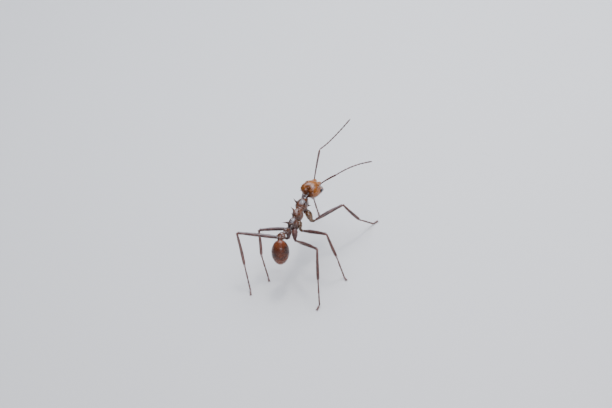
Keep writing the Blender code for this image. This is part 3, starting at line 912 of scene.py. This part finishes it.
def buildTarsus(pair, side, ankle):
    stops, heading = footPath(pair, side, ankle)
    path = smoothPath(stops, 12)
    shapes, start = [], 0.0
    for share in legs["tarsusShares"]:
        one, two = pathPoint(path, start), pathPoint(path, start + share)
        one = one - (two - one).normalized() * 0.02
        shapes.append(segment(one, two, legs["joint"], rings=20, around=16))
        start += share
    end = path[-1]
    across = heading.cross(Vector((0, 0, 1)))
    for spread in (-1, 1):
        tip = end + heading * legs["clawReach"] + across * spread * legs["clawSpread"]
        tip = tip - Vector((0, 0, end.z - 0.012))
        lift = end.lerp(tip, 0.55) + Vector((0, 0, legs["clawRise"])) + across * spread * 0.03
        thickness = [0.030 * (1 - k / 12) + 0.006 for k in range(13)]
        shapes.append(loft(smoothPath([end, lift, tip], 6), thickness, 10))
    pad = end + heading * 0.05 - Vector((0, 0, 0.025))
    shapes.append(roundForm((0.045, 0.05, 0.03), pad, around=14, along=10))
    return joined(shapes), path


def placeLimb(name, mesh, node, tone=None, skin="limbChitin"):
    place(name, mesh, Matrix.Identity(4), skins[skin], "limb_shell", [node], tone)


def buildLeg(pair, side):
    label = pair.title() + side.title()
    ends = [f"{part}_{pair}_{side}" for part in ("coxa", "femur", "tibia", "tarsus")]
    knee = corner(ends[1], ends[2])
    ankle = limbEnd(ends[2], knee)
    ring = limbEnd(ends[1], knee)
    line, way = middleLine(ends[1])
    tip = line + way * (ring - line).dot(way)
    tip += (tip - knee).normalized() * legs["bendRoom"]
    way = (Vector(nodePoints(ends[0]).mean(0)) - tip).normalized()
    size = legs["coxaSize"][pair]
    hip = tip + way * legs["coxaLength"] * size
    fat = [(share, radius * size) for share, radius in legs["coxa"]]
    coxa = segment(hip, tip, fat, around=32)
    out = (knee - tip).normalized()
    turnPoint = tip + out * legs["turnLength"]
    trochanter = segment(tip + way * 0.06, turnPoint, legs["trochanter"], rings=20)
    shapes = joined([coxa, trochanter])
    # painted sheen: the hind coxae take the violet limb paint instead of the coxa paint
    placeLimb("coxa" + label, shapes, ends[0], skin="limbChitin" if pair == "hind" else "coxaChitin")
    arch = Vector((0, 0, 1)) * 0.05
    femur = segment(turnPoint - out * 0.05, knee, legs["femur"], arch)
    shin = (ankle - knee).normalized()
    tibia = segment(knee + out * 0.02 - shin * 0.03, ankle, legs["tibia"], -out * 0.03)
    spurs = []
    lean = shin.cross(Vector((0, 0, 1))).normalized()
    for spread in ((-1, 1) if pair != "fore" else (1,)):
        root = ankle - shin * 0.05 + lean * spread * 0.07
        point = root + shin * legs["spurLength"] + lean * spread * 0.04
        spurs.append(thorn(root, point, 0.03, 0.008, around=8))
    tarsus, path = buildTarsus(pair, side, ankle)
    hairy = [femur.copy(), tibia.copy(), tarsus.copy()]
    placeLimb("femur" + label, femur, ends[1], paleEnds(tip, knee, 0.40))
    placeLimb("tibia" + label, joined([tibia] + spurs), ends[2], paleEnds(knee, ankle, 0.60))
    placeLimb("tarsus" + label, tarsus, ends[3], paleEnds(ankle, path[-1], 0.7))
    return hairy


feeler = {
    "scape": (
        (0.0, 0.03), (0.02, 0.070), (0.05, 0.045), (0.12, 0.058), (0.60, 0.080), (0.93, 0.088), (1.0, 0.03),
    ),
    "bead": ((0.0, 0.02), (0.10, 0.048), (0.30, 0.050), (0.80, 0.070), (0.93, 0.066), (1.0, 0.025)),
    "lastBead": ((0.0, 0.02), (0.08, 0.050), (0.35, 0.066), (0.75, 0.055), (0.95, 0.025), (1.0, 0.008)),
    "beads": (0.85, 1.0, 0.95, 0.95, 0.95, 0.95, 1.0, 1.0, 1.1, 1.9),
}


def buildFeeler(name, side, where):
    label = name.title()
    socket = Vector(head["socket"])
    root = where @ Vector((side * socket.x, socket.y, socket.z))
    line = bentLine("funiculus_" + name, nodeMiddle("scape_" + name))
    point, way = middleLine("scape_" + name)
    reach = (line[0] - point).dot(way)
    elbow = (point + way * (reach + math.copysign(0.10, reach)) + line[0]) / 2
    scape = segment(root, elbow, feeler["scape"], bow=Vector((0, 0, 0.05)), rings=44)
    knuckle = roundForm((0.10, 0.10, 0.10), root, around=24, along=16)
    line = smoothPath([elbow] + line[4::5] + [line[-1]], 6)
    total = sum(feeler["beads"])
    beads, start = [], 0.0
    for index, size in enumerate(feeler["beads"]):
        share = size / total
        one, two = pathPoint(line, start), pathPoint(line, start + share)
        last = index == len(feeler["beads"]) - 1
        knots = feeler["lastBead"] if last else feeler["bead"]
        beads.append(segment(one - (two - one).normalized() * 0.02, two, knots, rings=24, around=18))
        start += share
    flagellum = joined(beads)
    hairy = [scape.copy(), flagellum.copy()]
    placeLimb("scape" + label, joined([scape, knuckle]), "scape_" + name)
    placeLimb("flagellum" + label, flagellum, "funiculus_" + name)
    return hairy


legSkins = []
for pair in ("fore", "middle", "hind"):
    for side in sides:
        legSkins += buildLeg(pair, side)
feelerSkins = []
for name, side in sides.items():
    feelerSkins += buildFeeler(name, side, headPlace)
print("legs and feelers ready")


# bristles are thin curved cones, each with its own small patch on the baking map
bristles = {
    "headHair": {"count": 130, "length": 0.13, "lean": 0.6, "thick": 0.0050},
    "trunkHair": {"count": 130, "length": 0.16, "lean": 0.6, "thick": 0.0055},
    "waistHair": {"count": 60, "length": 0.16, "lean": 0.5, "thick": 0.0060},
    "gasterHair": {"count": 110, "length": 0.14, "lean": 1.0, "thick": 0.0050},
    "legHair": {"count": 1900, "length": 0.10, "lean": 1.3, "thick": 0.0055},
    "feelerHair": {"count": 900, "length": 0.055, "lean": 1.2, "thick": 0.0040},
}
patch = 0.003        # side of one bristle's place on the map
tipDroop = 0.26      # how far the tips bend over, against their length
floorRoom = 0.02     # bristles whose tips would come nearer to the floor are left out


def unwrapSpots(roots, middle):
    # a ball map of the skin's own shape, in its own frame
    away = roots - middle
    away /= np.linalg.norm(away, axis=1)[:, None]
    u = np.arctan2(away[:, 0], away[:, 2]) / (2 * math.pi) + 0.5
    v = np.arccos(np.clip(away[:, 1], -1, 1)) / math.pi
    return np.stack([u, v], 1)


def buildBristles(name, meshes, where, slot):
    facts = bristles[name]
    mesh = joined(meshes)
    bm = bmesh.new()
    bm.from_mesh(mesh)
    bmesh.ops.triangulate(bm, faces=bm.faces)
    corners = np.array([[vert.co[:] for vert in face.verts] for face in bm.faces])
    bm.free()
    cross = np.cross(corners[:, 1] - corners[:, 0], corners[:, 2] - corners[:, 0])
    area = np.linalg.norm(cross, axis=1)
    count = facts["count"]
    picked = random.choice(len(area), count, p=area / area.sum())
    a, b = random.random(count), random.random(count)
    flip = a + b > 1
    a[flip], b[flip] = 1 - a[flip], 1 - b[flip]
    chosen = corners[picked]
    roots = chosen[:, 0] + a[:, None] * (chosen[:, 1] - chosen[:, 0])
    roots = roots + b[:, None] * (chosen[:, 2] - chosen[:, 0])
    normals = cross[picked] / area[picked][:, None]
    rear = np.tile(np.array((0.0, 1.0, 0.0)), (count, 1))
    lie = rear - normals * (rear * normals).sum(1)[:, None] + random.normal(0, 0.25, (count, 3))
    ways = normals + lie * facts["lean"] * random.uniform(0.5, 1.1, count)[:, None]
    ways /= np.linalg.norm(ways, axis=1)[:, None]
    lengths = facts["length"] * random.uniform(0.55, 1.15, count)
    spots = unwrapSpots(roots, corners.reshape(-1, 3).mean(0))
    across = np.cross(ways, normals + 0.01)
    across /= np.linalg.norm(across, axis=1)[:, None]
    lift = np.cross(ways, across)
    points, faces, spotOfFace = [], [], []
    levels = ((-0.06, 1.0, 0.0), (0.40, 0.75, 0.05), (0.75, 0.45, 0.14))
    reach = roots + (ways + lie * tipDroop) * lengths[:, None]
    lowest = np.array([(where @ Vector(point)).z for point in reach])
    for index in np.nonzero(lowest > floorRoom)[0]:
        first = len(points)
        thick = facts["thick"] * (0.8 + 0.4 * a[index])
        for far, size, droop in levels:
            middle = roots[index] + ways[index] * far * lengths[index] + lie[index] * droop * lengths[index]
            for k in range(3):
                angle = 2 * math.pi * k / 3
                rim = across[index] * math.cos(angle) + lift[index] * math.sin(angle)
                points.append(middle + rim * thick * size)
        points.append(roots[index] + (ways[index] + lie[index] * tipDroop) * lengths[index])
        for level in range(2):
            for k in range(3):
                one, two = first + level * 3 + k, first + level * 3 + (k + 1) % 3
                faces.append((one, two, two + 3, one + 3))
        for k in range(3):
            faces.append((first + 6 + k, first + 6 + (k + 1) % 3, first + 9))
        faces.append((first + 2, first + 1, first))
        spotOfFace += [index] * 10
    hair = meshFromLists(points, faces)
    layer = hair.uv_layers.new(name="OFBake")
    for face, spot in zip(hair.polygons, spotOfFace):
        for k, loop in enumerate(face.loop_indices):
            edge = Vector((math.cos(k * 2.1), math.sin(k * 2.1))) * patch / 2
            layer.data[loop].uv = Vector(spots[spot]) * (1 - 2 * patch) + Vector((patch, patch)) + edge
    place(name, hair, where, skins["hair"], slot)


buildBristles("headHair", [headSkin], headPlace, "head_shell")
buildBristles("trunkHair", [trunkSkin], trunkPlace, "trunk_shell")
buildBristles("waistHair", [waistSkin], trunkPlace, "trunk_shell")
buildBristles("gasterHair", [gasterSkin], gasterPlace, "gaster_shell")
buildBristles("legHair", legSkins, Matrix.Identity(4), "limb_shell")
buildBristles("feelerHair", feelerSkins, Matrix.Identity(4), "limb_shell")
print("bristles ready")


studio = {
    "azimuth": 223.0, "elevation": 40.6, "roll": -18.1,
    "lens": 200.0, "sensor": 36.0, "width": 53.9,
    "aim": (0.79, 0.97),
    "floor": (0.58, 0.55, 0.51), "floorReach": 2.5,
    "room": (0.80, 0.86, 1.0), "roomLight": 0.22,
}


def buildFloor():
    size = studio["floorReach"]
    corners = [(-size, -size, 0), (size, -size, 0), (size, size, 0), (-size, size, 0)]
    mesh = meshFromLists(corners, [(0, 1, 2, 3)])
    dark = [c * 0.97 for c in studio["floor"]]
    mesh.materials.append(cloudedMaterial("paleFloor", 40.0, dark, studio["floor"], 0.75, 3.0))
    floor = bpy.data.objects.new("floor", mesh)
    bpy.context.scene.collection.objects.link(floor)


def buildCamera():
    a, e = math.radians(studio["azimuth"]), math.radians(studio["elevation"])
    back = Vector((math.sin(a) * math.cos(e), -math.cos(a) * math.cos(e), math.sin(e)))
    lean = Matrix.Rotation(math.radians(studio["roll"]), 3, "Z")
    turned = (-back).to_track_quat("-Z", "Y").to_matrix() @ lean
    trunkMiddle = trunkFrame().translation * mm
    aim = trunkMiddle + turned @ Vector((studio["aim"][0] * mm, studio["aim"][1] * mm, 0.0))
    data = bpy.data.cameras.new("camera")
    data.lens = studio["lens"]
    data.sensor_width = studio["sensor"]
    data.clip_start, data.clip_end = 0.01, 10.0
    camera = bpy.data.objects.new("camera", data)
    bpy.context.scene.collection.objects.link(camera)
    distance = studio["width"] * mm / studio["sensor"] * studio["lens"]
    camera.matrix_world = Matrix.Translation(aim + back * distance) @ turned.to_4x4()
    bpy.context.scene.camera = camera


lamps = {
    # where it stands from the ant in metres, its width and depth in metres, its power in watts and its tint
    "skyPanel": {
        "at": (0.000, -0.045, 0.100), "size": (0.16, 0.14),
        "power": 0.42, "tint": (0.74, 0.83, 1.0),
    },
    "keySpot": {
        "at": (-0.004, -0.045, 0.095), "size": (0.020, 0.020),
        "power": 0.05, "tint": (0.92, 0.95, 1.0),
    },
    "warmRear": {
        "at": (-0.090, 0.100, 0.060), "size": (0.07, 0.06),
        "power": 0.13, "tint": (1.0, 0.90, 0.95),
    },
}


def buildLamps():
    for name, facts in lamps.items():
        data = bpy.data.lights.new(name, "AREA")
        data.shape = "RECTANGLE"
        data.size, data.size_y = facts["size"]
        data.energy = facts["power"]
        data.color = facts["tint"]
        lamp = bpy.data.objects.new(name, data)
        bpy.context.scene.collection.objects.link(lamp)
        middle = Vector((0.0, 0.0, 0.004))
        lamp.location = middle + Vector(facts["at"])
        lamp.rotation_mode = "QUATERNION"
        lamp.rotation_quaternion = (-Vector(facts["at"])).to_track_quat("-Z", "Y")
    world = bpy.data.worlds.new("room")
    world.use_nodes = True
    world.node_tree.nodes["Background"].inputs["Color"].default_value = (*studio["room"], 1.0)
    world.node_tree.nodes["Background"].inputs["Strength"].default_value = studio["roomLight"]
    bpy.context.scene.world = world


buildFloor()
buildCamera()
buildLamps()
print("studio ready")
